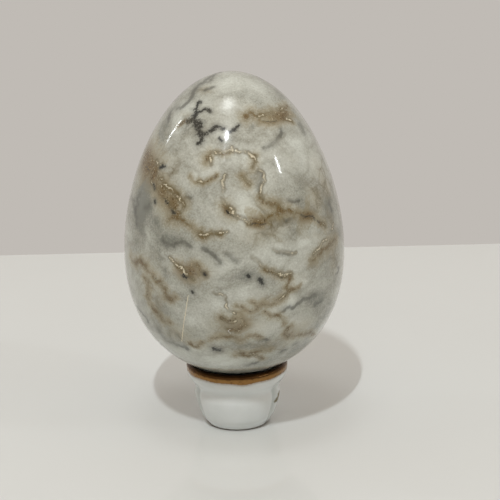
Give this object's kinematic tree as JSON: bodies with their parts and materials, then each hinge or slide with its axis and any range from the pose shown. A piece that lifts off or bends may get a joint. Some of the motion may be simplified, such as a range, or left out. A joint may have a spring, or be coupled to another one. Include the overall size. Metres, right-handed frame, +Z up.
{
  "type": "marble egg on a porcelain stand",
  "caption": "Polished veined marble egg standing blunt end down on a small lobed white porcelain cup with a gilt rim.",
  "frame": {"origin": "on the surface that the stand rests on, under the middle of the egg", "axes": "+Z up along the egg's axis, -Y towards the front of the object, +X to its right"},
  "size_m": [0.053, 0.053, 0.0874],
  "materials": {
    "marble": "polished pale grey marble with tan and cream veins and small black branching marks",
    "glazed_porcelain": "glossy white glaze, gilt on the lip"
  },
  "bodies": {
    "root": {"marble_egg": "marble", "porcelain_stand": "glazed_porcelain"}
  },
  "joints": []
}
